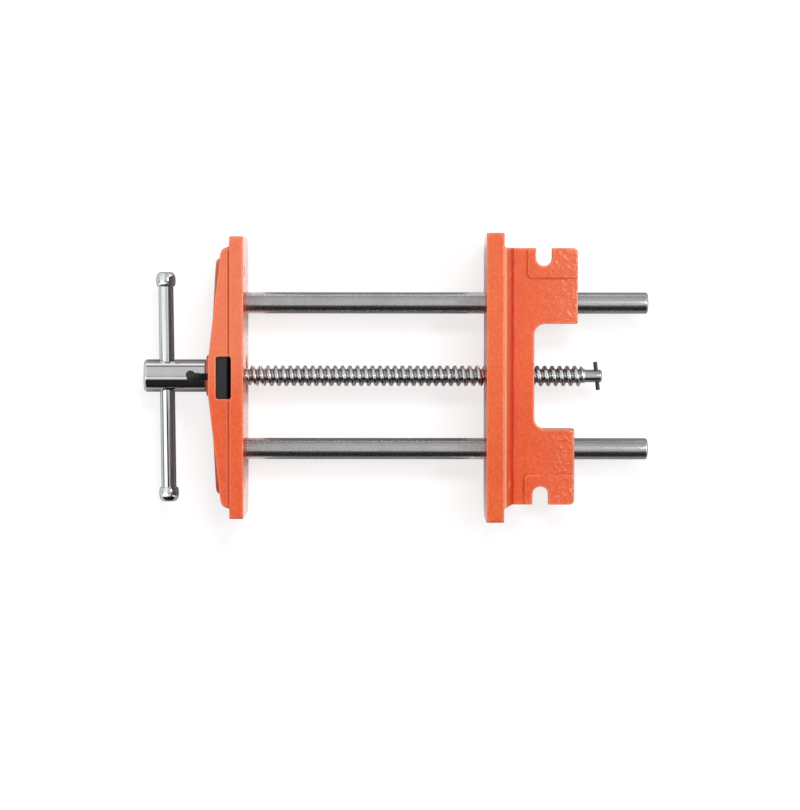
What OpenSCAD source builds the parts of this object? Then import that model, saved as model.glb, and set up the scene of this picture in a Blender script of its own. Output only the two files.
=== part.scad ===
// Woodworking front vise: two cast jaws, two guide rods, a lead screw with a sliding handle bar,
// and a bench dog in the front jaw.
// X runs along the lead screw from the handle to the back, Y across the jaws, Z up.
// The origin lies on the screw axis, in the plane of the rear jaw's gripping face.

/* [Jaws] */
// Width of the rear jaw
rear_jaw_w = 180; // [172:1:220]
// Width of the front jaw
front_jaw_w = 175.5; // [170:0.5:220]
// Depth of both jaws, from the top edge to the foot
jaw_depth = 76; // [72:1:90]
// Height of the jaws' top edge above the screw axis
jaw_rise = 52; // [48:1:58]
// Thickness of the rear jaw at its top edge
rear_jaw_t = 11; // [9:0.5:14]
// Thickness of the rear jaw where it meets the mounting plate
rear_root_t = 17.5; // [15:0.5:20]
// Thickness of the front jaw's flat plate
front_jaw_t = 8.7; // [8:0.1:11]
// Gap between the two gripping faces as drawn
opening = 151; // [60:1:170]
// Radius of the rear jaw's lower corners
rear_corner_r = 22; // [8:1:26]
// Radius of the front jaw's lower corners
front_corner_r = 14; // [6:1:20]
// Distance between the two holes for a wooden facing
facing_spacing = 132; // [110:1:140]
// Height of the facing holes above the screw axis
facing_rise = 31; // [28:0.5:36]
// Diameter of the facing holes
facing_d = 6.5; // [4:0.5:8]

/* [Front jaw dome] */
// Width of the domed back of the front jaw
dome_w = 162; // [150:1:168]
// Thickness of the front jaw at the ends of its dome
dome_end_t = 14.3; // [13:0.1:17]
// Thickness of the front jaw at the middle of its dome
dome_mid_t = 22; // [21:0.1:26]
// Width of the raised panel on the dome
panel_w = 149; // [130:1:156]
// Height of the raised panel
panel_h = 38; // [32:1:40]
// Height of the panel's proud face over the dome's ends
panel_proud = 3.4; // [1:0.1:4]
// Diameter of the collar round the handle hub
collar_d = 26; // [24:0.5:32]
// Thickness of the front jaw at the collar
collar_t = 25.5; // [24:0.1:29]

/* [Mounting plate] */
// Width of the mounting plate
plate_w = 162; // [156:1:168]
// Thickness of the mounting plate
plate_t = 8; // [6:0.5:10]
// Height of the mounting plate's top above the screw axis
plate_rise = 13.7; // [12.5:0.1:16]
// Distance from the gripping face to the back edge of the ears
ear_reach = 57.4; // [52:0.1:64]
// Distance from the gripping face to the back edge between the ears
web_reach = 31; // [29:0.5:36]
// Height of the two bench pads above the plate
pad_proud = 0.8; // [0.5:0.1:1.5]
// Width of each bench pad
pad_w = 18.8; // [16:0.1:22]
// Length of each bench pad
pad_l = 31.5; // [26:0.5:34]
// Width of the open slot in each ear
slot_w = 10; // [7:0.5:11]
// Depth of the open slot in each ear
slot_depth = 11.4; // [9:0.1:14]
// Distance from the gripping face to the slots' middle
slot_reach = 36; // [34:0.1:42]
// How much farther back the left ear and its slot stand than the right ones
ear_skew = 2; // [-3:0.1:3]

/* [Guide rods] */
// Diameter of the guide rods
rod_d = 13.5; // [11:0.5:14]
// Distance between the two rod axes
rod_spacing = 92.5; // [86:0.5:100]
// Length of the guide rods
rod_l = 268.6; // [240:0.1:300]
// Depth of the rods' seats in the front jaw
rod_seat = 14; // [11:0.5:14]
// Wall of the rear jaw round each rod
housing_wall = 6.3; // [5:0.1:8]

/* [Lead screw] */
// Outer diameter of the thread
screw_d = 13; // [12:0.5:14]
// Pitch of the right-hand thread
thread_pitch = 4.75; // [4.5:0.05:5.5]
// Depth of the thread
thread_depth = 2.1; // [1.6:0.1:2.2]
// Length of the threaded stretch
thread_l = 215.2; // [190:0.1:240]
// Diameter of the plain tail behind the thread
tail_d = 8; // [6.5:0.5:8.5]
// Length of the plain tail
tail_l = 10.7; // [9:0.1:14]
// Diameter of the stop pin in the tail
stop_pin_d = 2.6; // [2:0.1:3]
// Length of the stop pin
stop_pin_l = 18; // [16:0.5:24]

/* [Nut] */
// Length of the nut in the rear jaw
nut_l = 22; // [18:0.5:23]
// Wall of the nut outside the thread
nut_wall = 3.5; // [3:0.1:4.5]
// Wall of the rear jaw round the nut
boss_wall = 3.2; // [3:0.1:3.4]

/* [Handle] */
// Diameter of the handle hub
hub_d = 20.6; // [20:0.1:23]
// Length of the handle hub in front of the jaw
hub_l = 39.4; // [36:0.1:46]
// Diameter of the sliding bar
bar_d = 9.5; // [8:0.5:10.5]
// Length of the sliding bar with its two caps
bar_l = 145.6; // [120:0.1:180]
// Distance from the hub's front end to the bar's axis
bar_inset = 14.6; // [12:0.1:16]
// How far the bar stands off centre, along Y
bar_offset = -7.1; // [-30:0.1:30]
// Lean of the bar in its hole, in degrees
bar_lean = 0.8; // [0:0.1:1.2]
// Diameter of the caps
cap_d = 12.5; // [11.5:0.1:14]
// Length of each cap
cap_l = 9.2; // [8:0.1:12]

/* [Bench dog] */
// Width of the dog's pocket along the jaw
pocket_w = 26.3; // [20:0.1:30]
// Thickness of the dog's pocket
pocket_t = 9.3; // [8.5:0.1:10]
// Thickness of the jaw between the pocket and the gripping face
pocket_wall = 7.7; // [7:0.1:8.5]
// Height of the pocket's floor above the screw axis
pocket_floor = 12; // [11.5:0.1:15]
// Depth of the dog's top below the jaws' top edge
dog_sink = 2.5; // [1:0.1:4]
// Diameter of the dog's clamping screw
dog_screw_d = 5; // [4:0.5:6]
// Height of the clamping screw above the screw axis
dog_screw_rise = 28; // [26:0.5:30]
// Length of the clamping screw's cross bar
cross_bar_l = 24; // [20:0.5:28]
// Diameter of the cross bar
cross_bar_d = 3; // [2.5:0.1:3.5]
// Lean of the cross bar from upright, in degrees
cross_bar_lean = 7.5; // [0:0.5:45]

/* [Hidden] */
$fn = 64;
// overrun of every cut past the face it leaves
over = 1;

// heights that several pieces share
foot_z = jaw_rise - jaw_depth;
rod_y = rod_spacing / 2;

// clearances, all radial or per side
rod_fit = 0.08;
journal_fit = 0.08;
bar_fit = 0.5;
passage_fit = 1;
thread_fit = 0.22;
dog_fit = 0.3;
dog_screw_fit = 0.08;
shoulder_gap = 0.2;
ring_gap = 0.05;

// lead screw and nut
flank_angle = 14.5;
crest_share = 0.37;
crest_w = crest_share * thread_pitch;
thread_sides = 24;
full_turn = 360;
root_r = screw_d / 2 - thread_depth;
nut_d = screw_d + 2 * thread_fit + 2 * nut_wall;
boss_r = nut_d / 2 + boss_wall;
tail_chamfer = 0.8;
stop_pin_lean = 6;
stop_pin_inset = 3.3;
set_screw_d = 5;
set_screw_bite = 0.8;
set_screw_sink = 0.2;
set_screw_l = boss_wall + set_screw_bite - set_screw_sink;
set_screw_socket = 2.5;

// handle hub, with the journal that turns in the front jaw
journal_wall = 3.1;
journal_r = root_r + journal_wall;
hub_chamfer = 1.5;
socket_depth = 36;
hub_pin_d = 4;
hub_pin_inset = 6;
journal_short = 0.6;
recess_wall = 5.4;
recess_r = journal_r + recess_wall;
recess_depth = 6;
washer_t = 1.5;
ring_t = 1.2;
ring_w = 2.6;
ring_bite = 0.5;
ring_slit = 3.2;
ring_lug_r = 1.7;
ring_eye_r = 0.7;
rod_chamfer = 1.8;
rod_pin_d = 4;
rod_pin_above = 4;
rod_pin_l = 32;

// castings
top_corner_r = 2;
plate_corner_r = 3;
web_corner_r = 7;
web_ledge = 1.3;
web_drop = 2;
dome_drop = 1.2;
dome_foot = 3;
dome_corner_r = 5;
dome_flat = 10;
panel_middle = 4;
panel_corner_r = 3;
panel_round = 10;
panel_flat = 20;
panel_mid_back = 0.8;
facing_head_r = 6.5;
facing_head_t = 10;
pocket_corner_r = 1.2;

// dog and its clamping screw
dog_chamfer = 2.3;
dog_chamfer_h = 4;
dog_corner_r = 0.9;
dog_screw_stand = 11.5;
dog_screw_nose = 2.7;
cross_bar_end_d = 5.8;
cross_bar_end_l = 3;
bar_spigot_share = 0.66;

cap_share = [[0, 0.45], [0, 0.9], [0.15, 0.97], [0.4, 1], [0.62, 0.985], [0.8, 0.9], [0.93, 0.77], [1, 0.62]];

// points on an arc round c, from angle a0 to a1
function arc(c, r, a0, a1, n = 10) =
    [for (i = [0:n]) c + r * [cos(a0 + (a1 - a0) * i / n), sin(a0 + (a1 - a0) * i / n)]];

// a jaw seen along the screw: a rectangle whose lower and upper corners have their own radii
function jaw_outline(w, z0, z1, low_r, high_r) = concat(
    arc([w / 2 - low_r, z0 + low_r], low_r, -90, 0),
    arc([w / 2 - high_r, z1 - high_r], high_r, 0, 90),
    arc([high_r - w / 2, z1 - high_r], high_r, 90, 180),
    arc([low_r - w / 2, z0 + low_r], low_r, 180, 270));

// a wedge seen from above, thickest in the middle, from the plate's middle to its domed front
function wedge_outline(w, end_t, mid_t, flat, r) = concat(
    [[-front_jaw_t / 2, -w / 2]],
    arc([r - end_t, r - w / 2], r, 270, 180),
    [[-mid_t, -flat], [-mid_t, flat]],
    arc([r - end_t, w / 2 - r], r, 180, 90),
    [[-front_jaw_t / 2, w / 2]]);

// a flat shape in Y and Z, drawn out along X from x0 to x1
module along_x(x0, x1) {
    translate([x0, 0, 0])
        rotate([90, 0, 90])
            linear_extrude(x1 - x0)
                children();
}

// a round bar along X from x0 to x1
module bar_x(r, x0, x1) {
    translate([x0, 0, 0])
        rotate([0, 90, 0])
            cylinder(r = r, h = x1 - x0);
}

// a flat shape in X and Z, drawn out along Y to both sides
module along_y(w) {
    rotate([90, 0, 0])
        linear_extrude(w, center = true)
            children();
}

// a rectangle from corner a to corner b with round corners, kept as true arcs
module round_rect(a, b, r) {
    translate([a[0] + r, a[1]])
        square([b[0] - a[0] - 2 * r, b[1] - a[1]]);
    translate([a[0], a[1] + r])
        square([b[0] - a[0], b[1] - a[1] - 2 * r]);
    for (x = [a[0] + r, b[0] - r], y = [a[1] + r, b[1] - r])
        translate([x, y])
            circle(r = r);
}

// the front jaw's pieces are drawn with X = 0 at its gripping face
module on_front_jaw() {
    translate([-opening, 0, 0])
        children();
}

// a bar with a right-hand ridge wound round it, as one closed surface. The helix is counted from X = 0,
// so a screw and a nut made with it are in mesh wherever they lie. grow widens the ridge and its root.
module threaded_bar(x0, x1, grow) {
    n = thread_sides;
    low_r = root_r + grow;
    high_r = screw_d / 2 + grow;
    crest_half = crest_w / 2 + grow;
    root_half = crest_half + thread_depth * tan(flank_angle);
    lead_in = thread_pitch / n;
    first = ceil((x0 + root_half + lead_in) / thread_pitch * n);
    last = floor((x1 - root_half - lead_in) / thread_pitch * n);
    steps = last - first;
    run_out = n / 2;
    offsets = [-root_half, -crest_half, crest_half, root_half];
    function rise(k) = min(1, k / run_out, (steps - k) / run_out);
    function radius(k, j) = (j == 1 || j == 2) ? low_r + (high_r - low_r) * rise(k) : low_r;
    function spot(r, a, x) = [x, r * cos(a), r * sin(a)];
    ridge = [for (k = [0:steps], j = [0:3])
        spot(radius(k, j), full_turn * (first + k) / n, thread_pitch * (first + k) / n + offsets[j])];
    front_ring = [for (i = [0:n - 1]) spot(low_r, full_turn * (first + i) / n, x0)];
    back_ring = [for (i = [0:n - 1]) spot(low_r, full_turn * (last + i) / n, x1)];
    f0 = len(ridge);
    b0 = f0 + n;
    function p(k, j) = 4 * k + j;
    function q(i) = f0 + i % n;
    function e(i) = b0 + i % n;
    ridge_faces = [for (k = [0:steps - 1], j = [0:2], t = [0:1])
        t == 0 ? [p(k, j), p(k + 1, j), p(k + 1, j + 1)] : [p(k, j), p(k + 1, j + 1), p(k, j + 1)]];
    root_faces = [for (k = [0:steps - n - 1], t = [0:1])
        t == 0 ? [p(k, 3), p(k + 1, 3), p(k + 1 + n, 0)] : [p(k, 3), p(k + 1 + n, 0), p(k + n, 0)]];
    front_faces = [for (i = [0:n - 2], t = [0:1])
        t == 0 ? [q(i), q(i + 1), p(i + 1, 0)] : [q(i), p(i + 1, 0), p(i, 0)]];
    front_chain = [q(0), p(0, 0), p(0, 1), p(0, 2), p(0, 3), p(n, 0), p(n - 1, 0)];
    front_fan = [for (i = [0:len(front_chain) - 2]) [q(n - 1), front_chain[i], front_chain[i + 1]]];
    s = steps - n;
    back_faces = [for (i = [1:n - 1], t = [0:1])
        t == 0 ? [p(s + i, 3), p(s + i + 1, 3), e(i + 1)] : [p(s + i, 3), e(i + 1), e(i)]];
    back_chain = [e(0), p(steps, 3), p(steps, 2), p(steps, 1), p(steps, 0), p(s, 3), p(s + 1, 3)];
    back_fan = [for (i = [0:len(back_chain) - 2]) [e(1), back_chain[i], back_chain[i + 1]]];
    front_cap = [[for (i = [n - 1:-1:0]) q(i)]];
    back_cap = [[for (i = [0:n - 1]) e(i)]];
    faces = concat(ridge_faces, root_faces, front_faces, front_fan, back_faces, back_fan, front_cap, back_cap);
    polyhedron(concat(ridge, front_ring, back_ring), [for (f = faces) [for (i = [len(f) - 1:-1:0]) f[i]]]);
}

// holes for the screws that hold a wooden facing, cut from x0 to x1
module facing_holes(r, x0, x1) {
    for (side = [-1, 1])
        translate([0, side * facing_spacing / 2, facing_rise])
            bar_x(r, x0, x1);
}

// The half that bolts to the bench.

function ear_x(side) = ear_reach + side * ear_skew / 2;

module plate_outline() {
    inner_y = rod_y - rod_d / 2 - housing_wall;
    for (side = [-1, 1]) {
        mirror([0, side < 0 ? 1 : 0])
            round_rect([rear_jaw_t / 2, inner_y], [ear_x(side), plate_w / 2], plate_corner_r);
        // fillet between an ear and the web
        translate([web_reach, side * inner_y])
            mirror([0, side > 0 ? 1 : 0])
                difference() {
                    square(web_corner_r);
                    translate([web_corner_r, web_corner_r])
                        circle(r = web_corner_r);
                }
    }
    translate([rear_jaw_t / 2, -inner_y - plate_corner_r])
        square([web_reach - rear_jaw_t / 2, 2 * (inner_y + plate_corner_r)]);
}

module open_slot(side) {
    slot_x = slot_reach + side * ear_skew / 2;
    end_y = plate_w / 2 - slot_depth + slot_w / 2;
    translate([slot_x, end_y])
        circle(r = slot_w / 2);
    translate([slot_x - slot_w / 2, end_y])
        square([slot_w, slot_depth + over]);
}

module rear_jaw() {
    color([0.93, 0.42, 0.27])
    difference() {
        union() {
            along_x(0, rear_jaw_t)
                polygon(jaw_outline(rear_jaw_w, foot_z, jaw_rise, rear_corner_r, top_corner_r));
            // tapered back above the mounting plate
            along_y(plate_w)
                polygon([[rear_jaw_t / 2, jaw_rise - web_drop],
                         [rear_jaw_t + web_ledge, jaw_rise - web_drop],
                         [rear_root_t, plate_rise],
                         [rear_root_t, plate_rise - plate_t],
                         [rear_jaw_t / 2, plate_rise - plate_t]]);
            translate([0, 0, plate_rise - plate_t])
                linear_extrude(plate_t)
                    plate_outline();
            // bench pads
            for (side = [-1, 1])
                mirror([0, side < 0 ? 1 : 0, 0])
                    translate([0, 0, plate_rise - plate_t / 2])
                        linear_extrude(plate_t / 2 + pad_proud)
                            round_rect([ear_x(side) - pad_l, plate_w / 2 - pad_w],
                                       [ear_x(side), plate_w / 2], plate_corner_r);
            // rod housings and nut boss
            for (side = [-1, 1])
                translate([0, side * rod_y, 0])
                    bar_x(rod_d / 2 + housing_wall, rear_jaw_t / 2, ear_x(side));
            bar_x(boss_r, rear_jaw_t / 2, web_reach);
            along_x(rear_jaw_t / 2, web_reach)
                polygon([[-boss_r, 0], [boss_r, 0], [boss_r, plate_rise - plate_t / 2],
                         [-boss_r, plate_rise - plate_t / 2]]);
            for (side = [-1, 1])
                translate([0, side * rod_y, 0])
                    along_x(rear_jaw_t / 2, ear_x(side))
                        translate([-rod_d / 2 - housing_wall, 0])
                            square([rod_d + 2 * housing_wall, plate_rise - plate_t / 2]);
        }
        for (side = [-1, 1])
            translate([0, side * rod_y, 0])
                bar_x(rod_d / 2 + rod_fit, -over, ear_x(side) + over);
        // passage for the screw, and the nut's seat behind it
        bar_x(screw_d / 2 + passage_fit, -over, web_reach + over);
        bar_x(nut_d / 2, web_reach - nut_l, web_reach + over);
        translate([web_reach - nut_l / 2, 0, -boss_r - over])
            cylinder(d = set_screw_d, h = boss_r + over - nut_d / 2 + set_screw_bite);
        for (side = [-1, 1])
            mirror([0, side < 0 ? 1 : 0, 0])
                translate([0, 0, plate_rise - plate_t - over])
                    linear_extrude(plate_t + pad_proud + 2 * over)
                        open_slot(side);
        facing_holes(facing_d / 2, -over, rear_root_t + over);
    }
}

module screw_nut() {
    color([0.62, 0.60, 0.56])
    difference() {
        bar_x(nut_d / 2, web_reach - nut_l, web_reach);
        threaded_bar(web_reach - nut_l - 1.5 * thread_pitch, web_reach + 1.5 * thread_pitch, thread_fit);
        translate([web_reach - nut_l / 2, 0, -nut_d / 2 - over])
            cylinder(d = set_screw_d, h = over + set_screw_bite);
    }
}

module nut_set_screw() {
    color([0.2, 0.2, 0.21])
    translate([web_reach - nut_l / 2, 0, set_screw_bite - nut_d / 2 - set_screw_l])
        difference() {
            cylinder(d = set_screw_d, h = set_screw_l);
            translate([0, 0, -over])
                cylinder(d = set_screw_socket, h = set_screw_l / 2 + over, $fn = 6);
        }
}

// The sliding half.

module front_jaw() {
    panel_z = panel_middle;
    panel_end_t = dome_end_t + panel_proud + panel_mid_back;
    color([0.94, 0.43, 0.28])
    on_front_jaw()
    difference() {
        union() {
            along_x(-front_jaw_t, 0)
                polygon(jaw_outline(front_jaw_w, foot_z, jaw_rise, front_corner_r, top_corner_r));
            intersection() {
                translate([0, 0, foot_z])
                    linear_extrude(jaw_depth)
                        polygon(wedge_outline(dome_w, dome_end_t, dome_mid_t, dome_flat, dome_corner_r));
                along_x(-dome_mid_t - over, 0)
                    polygon(jaw_outline(dome_w, foot_z + dome_foot, jaw_rise - dome_drop,
                                        front_corner_r, top_corner_r));
            }
            intersection() {
                translate([0, 0, foot_z])
                    linear_extrude(jaw_depth)
                        polygon(wedge_outline(panel_w, panel_end_t, dome_mid_t - panel_mid_back,
                                              panel_flat, panel_corner_r));
                along_x(-dome_mid_t - over, 0)
                    polygon(jaw_outline(panel_w, panel_z - panel_h / 2, panel_z + panel_h / 2,
                                        panel_round, panel_round));
            }
            bar_x(collar_d / 2, -collar_t, -front_jaw_t);
        }
        // journal bore, and the recess for the washer and ring behind it
        bar_x(journal_r + journal_fit, -collar_t - over, over);
        bar_x(recess_r, -recess_depth, over);
        for (side = [-1, 1])
            translate([0, side * rod_y, 0]) {
                bar_x(rod_d / 2, -rod_seat, over);
                translate([-rod_seat / 2, 0, foot_z - over])
                    cylinder(d = rod_pin_d, h = over - foot_z + rod_d / 2 + rod_pin_above);
            }
        // pocket for the dog, and the hole for its clamping screw
        translate([0, 0, pocket_floor])
            linear_extrude(jaw_rise - pocket_floor + over)
                round_rect([-pocket_wall - pocket_t, -pocket_w / 2], [-pocket_wall, pocket_w / 2],
                           pocket_corner_r);
        translate([0, 0, dog_screw_rise])
            bar_x(dog_screw_d / 2 + dog_screw_fit, -dome_mid_t - over, -pocket_wall - pocket_t / 2);
        facing_holes(facing_d / 2, -dome_mid_t - over, over);
        facing_holes(facing_head_r, -dome_mid_t - over, -facing_head_t);
    }
}

module guide_rod(side) {
    color([0.47, 0.47, 0.48])
    on_front_jaw()
    translate([-rod_seat, side * rod_y, 0])
        difference() {
            union() {
                bar_x(rod_d / 2, 0, rod_l - rod_chamfer);
                translate([rod_l - rod_chamfer, 0, 0])
                    rotate([0, 90, 0])
                        cylinder(r1 = rod_d / 2, r2 = rod_d / 2 - rod_chamfer / 2, h = rod_chamfer);
            }
            translate([rod_seat / 2, 0, -rod_d / 2 - over])
                cylinder(d = rod_pin_d, h = rod_d + 2 * over);
        }
}

module rod_pin(side) {
    color([0.35, 0.35, 0.36])
    on_front_jaw()
    translate([-rod_seat / 2, side * rod_y, rod_d / 2 + rod_pin_above - rod_pin_l])
        difference() {
            cylinder(d = rod_pin_d, h = rod_pin_l);
            translate([0, 0, -over])
                cylinder(d = rod_pin_d / 2, h = rod_pin_l + 2 * over);
        }
}

// What turns with the handle.

hub_front = -collar_t - shoulder_gap - hub_l;
bar_x0 = hub_front + bar_inset;
pin_x = -collar_t - shoulder_gap - hub_pin_inset;
washer_x = -recess_depth;
ring_x = washer_x + washer_t + ring_gap;
thread_x = -journal_short;

module handle_hub() {
    color([0.80, 0.81, 0.83])
    on_front_jaw()
    difference() {
        union() {
            translate([hub_front, 0, 0])
                rotate([0, 90, 0])
                    cylinder(r1 = hub_d / 2 - hub_chamfer, r2 = hub_d / 2, h = hub_chamfer);
            bar_x(hub_d / 2, hub_front + hub_chamfer, -collar_t - shoulder_gap);
            bar_x(journal_r, hub_front + hub_l - over, -journal_short);
        }
        // hole for the sliding bar
        translate([bar_x0, 0, 0])
            rotate([90, 0, 0])
                cylinder(r = bar_d / 2 + bar_fit, h = hub_d + 2 * over, center = true);
        bar_x(root_r, -socket_depth, over);
        translate([pin_x, 0, 0])
            rotate([90, 0, 0])
                cylinder(d = hub_pin_d, h = hub_d + 2 * over, center = true);
        // groove for the retaining ring
        difference() {
            bar_x(journal_r + over, ring_x - ring_gap, ring_x + ring_t + ring_gap);
            bar_x(journal_r - ring_bite, ring_x - over, ring_x + ring_t + over);
        }
    }
}

module lead_screw() {
    tail_x = thread_x + thread_l;
    color([0.74, 0.75, 0.77])
    difference() {
        union() {
            threaded_bar(-opening + thread_x, -opening + tail_x, 0);
            on_front_jaw() {
                bar_x(root_r, -socket_depth, thread_x);
                bar_x(tail_d / 2, tail_x, tail_x + tail_l - tail_chamfer);
                translate([tail_x + tail_l - tail_chamfer, 0, 0])
                    rotate([0, 90, 0])
                        cylinder(r1 = tail_d / 2, r2 = tail_d / 2 - tail_chamfer, h = tail_chamfer);
            }
        }
        on_front_jaw() {
            translate([pin_x, 0, 0])
                rotate([90, 0, 0])
                    cylinder(d = hub_pin_d, h = hub_d, center = true);
            stop_pin_place()
                cylinder(d = stop_pin_d, h = stop_pin_l, center = true);
        }
    }
}

module hub_pin() {
    color([0.35, 0.35, 0.36])
    on_front_jaw()
    translate([pin_x, 0, 0])
        rotate([90, 0, 0])
            cylinder(d = hub_pin_d, h = hub_d, center = true);
}

module stop_pin_place() {
    translate([thread_x + thread_l + tail_l - stop_pin_inset, 0, 0])
        rotate([0, 0, stop_pin_lean])
            rotate([90, 0, 0])
                children();
}

module stop_pin() {
    color([0.18, 0.18, 0.19])
    on_front_jaw()
    stop_pin_place()
        cylinder(d = stop_pin_d, h = stop_pin_l, center = true);
}

module thrust_washer() {
    color([0.66, 0.66, 0.67])
    on_front_jaw()
    difference() {
        bar_x(recess_r - ring_bite, washer_x, washer_x + washer_t);
        bar_x(journal_r + journal_fit, washer_x - over, washer_x + washer_t + over);
    }
}

module retaining_ring() {
    inner = journal_r - ring_bite + ring_gap;
    lug_y = ring_slit / 2 + ring_lug_r / 2;
    lug_z = inner + ring_lug_r;
    color([0.3, 0.3, 0.31])
    on_front_jaw()
    along_x(ring_x, ring_x + ring_t)
        difference() {
            union() {
                circle(r = inner + ring_w);
                for (side = [-1, 1])
                    translate([side * lug_y, lug_z])
                        circle(r = ring_lug_r);
            }
            circle(r = inner);
            translate([-ring_slit / 4, 0])
                square([ring_slit / 2, inner + ring_w + ring_lug_r]);
            for (side = [-1, 1])
                translate([side * lug_y, lug_z])
                    circle(r = ring_eye_r);
        }
}

module on_bar_axis() {
    on_front_jaw()
    translate([bar_x0, 0, 0])
        rotate([0, 0, bar_lean])
            rotate([-90, 0, 0])
                translate([0, 0, bar_offset])
                    children();
}

cap_seat = bar_l / 2 - cap_l;
spigot_l = bar_spigot_share * cap_l;
spigot_r = bar_spigot_share * bar_d / 2;

module handle_bar() {
    color([0.78, 0.79, 0.81])
    on_bar_axis() {
        cylinder(d = bar_d, h = 2 * cap_seat, center = true);
        cylinder(r = spigot_r, h = 2 * (cap_seat + spigot_l), center = true);
    }
}

module handle_cap(side) {
    color([0.80, 0.81, 0.83])
    on_bar_axis()
        mirror([0, 0, side < 0 ? 1 : 0])
            translate([0, 0, cap_seat])
                difference() {
                    rotate_extrude()
                        polygon(concat([[0, 0]],
                                       [for (s = cap_share) [s[1] * cap_d / 2, s[0] * cap_l]],
                                       [[0, cap_l]]));
                    translate([0, 0, -over])
                        cylinder(r = spigot_r, h = spigot_l + over);
                }
}

// The bench dog and its clamping screw.

dog_front = -pocket_wall - pocket_t + dog_fit;
dog_back = -pocket_wall - dog_fit;
dog_w = pocket_w - 2 * dog_fit;
dog_top = jaw_rise - dog_sink;
dog_foot = pocket_floor + dog_fit;

module bench_dog() {
    color([0.2, 0.2, 0.21])
    on_front_jaw()
    intersection() {
        along_y(dog_w)
            polygon([[dog_front, dog_foot], [dog_back, dog_foot], [dog_back, dog_top - dog_chamfer_h],
                     [dog_back - dog_chamfer, dog_top], [dog_front, dog_top]]);
        translate([0, 0, dog_foot])
            linear_extrude(dog_top - dog_foot)
                round_rect([dog_front, -dog_w / 2], [dog_back, dog_w / 2], dog_corner_r);
    }
}

cross_bar_x = -dome_mid_t - dog_screw_stand;

module dog_screw() {
    color([0.16, 0.16, 0.17])
    on_front_jaw()
    translate([0, 0, dog_screw_rise])
        difference() {
            bar_x(dog_screw_d / 2, cross_bar_x - dog_screw_nose, dog_front - ring_gap);
            translate([cross_bar_x, 0, 0])
                rotate([-cross_bar_lean, 0, 0])
                    cylinder(d = cross_bar_d, h = dog_screw_d + 2 * over, center = true);
        }
}

module dog_screw_bar() {
    color([0.16, 0.16, 0.17])
    on_front_jaw()
    translate([cross_bar_x, 0, dog_screw_rise])
        rotate([-cross_bar_lean, 0, 0]) {
            cylinder(d = cross_bar_d, h = cross_bar_l, center = true);
            for (side = [0, 1])
                mirror([0, 0, side])
                    translate([0, 0, cross_bar_l / 2 - cross_bar_end_l])
                        cylinder(d = cross_bar_end_d, h = cross_bar_end_l);
        }
}

rear_jaw();
screw_nut();
nut_set_screw();
front_jaw();
guide_rod(1);  // guide_rod_left
guide_rod(-1);  // guide_rod_right
rod_pin(1);  // rod_pin_left
rod_pin(-1);  // rod_pin_right
handle_hub();
lead_screw();
hub_pin();
stop_pin();
thrust_washer();
retaining_ring();
handle_bar();
handle_cap(1);  // handle_cap_left
handle_cap(-1);  // handle_cap_right
bench_dog();
dog_screw();
dog_screw_bar();
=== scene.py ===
"""Looks of a woodworking vise: cast jaws, ground rods, lead screw, handle and bench dog."""
import math

import bmesh
import bpy
import numpy as np
from mathutils import Matrix, Vector


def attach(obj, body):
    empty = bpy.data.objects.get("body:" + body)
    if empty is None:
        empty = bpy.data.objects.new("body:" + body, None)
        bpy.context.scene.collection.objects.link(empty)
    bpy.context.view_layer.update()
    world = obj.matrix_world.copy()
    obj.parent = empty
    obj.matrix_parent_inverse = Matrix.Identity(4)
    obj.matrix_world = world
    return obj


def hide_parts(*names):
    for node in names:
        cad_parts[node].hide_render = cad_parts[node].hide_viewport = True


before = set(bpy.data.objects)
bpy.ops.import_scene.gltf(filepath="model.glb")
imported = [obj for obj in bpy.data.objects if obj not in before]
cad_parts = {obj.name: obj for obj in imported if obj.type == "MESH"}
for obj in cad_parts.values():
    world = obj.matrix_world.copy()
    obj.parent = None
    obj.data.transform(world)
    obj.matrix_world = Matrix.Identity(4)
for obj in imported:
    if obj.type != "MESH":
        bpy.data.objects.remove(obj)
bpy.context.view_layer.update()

# Sizes in millimetres, as in the part's source. MM turns them into metres.
MM = 0.001
opening = 151.0
jaw_rise = 52.0
jaw_depth = 76.0
foot_z = jaw_rise - jaw_depth
front_jaw_t = 8.7
collar_t = 25.5
dome_mid_t = 22.0
rod_d = 13.5
rod_y = 92.5 / 2
rod_l = 268.6
rod_seat = 14.0
rod_chamfer = 1.8
rod_fit = 0.12
rod_pin_d = 3.9
rod_pin_above = 4
rod_pin_l = 32
web_reach = 31.0
nut_l = 22.0
nut_r = 10.22
passage_r = 7.5
screw_d = 13.0
thread_pitch = 4.75
thread_depth = 2.1
thread_l = 215.2
journal_short = 0.6
thread_front = -opening - journal_short
root_r = screw_d / 2 - thread_depth
crest_share = 0.37
flank_angle = math.radians(14.5)
tail_d = 8.0
tail_l = 10.7
stop_pin_inset = 3.3
stop_pin_d = 2.6
stop_pin_l = 18.0
stop_pin_lean = math.radians(6)
hub_d = 20.6
hub_l = 39.4
shoulder_gap = 0.2
hub_front = -opening - collar_t - shoulder_gap - hub_l
hub_chamfer = 1.5
hub_pin_d = 4.0
hub_pin_l = hub_d - 0.1
hub_pin_inset = 6
socket_depth = 36.0
journal_r = 7.5
journal_fit = 0.1
recess_r = 12.9
recess_depth = 6.0
washer_t = 1.5
ring_gap = 0.05
ring_x = -opening - recess_depth + washer_t + ring_gap
ring_t = 1.2
ring_bite = 0.5
bar_x = hub_front + 14.6
bar_d = 9.5
bar_l = 145.6
bar_offset = -7.1
bar_hole_r = 5.25
bar_lean = math.radians(0.8)
cap_d = 12.5
cap_l = 9.2
pocket_wall = 7.7
pocket_t = 9.3
pocket_front = -opening - pocket_wall - pocket_t
pocket_back = -opening - pocket_wall
pocket_w = 26.3
pocket_floor = 12.0
dog_fit = 0.3
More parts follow.
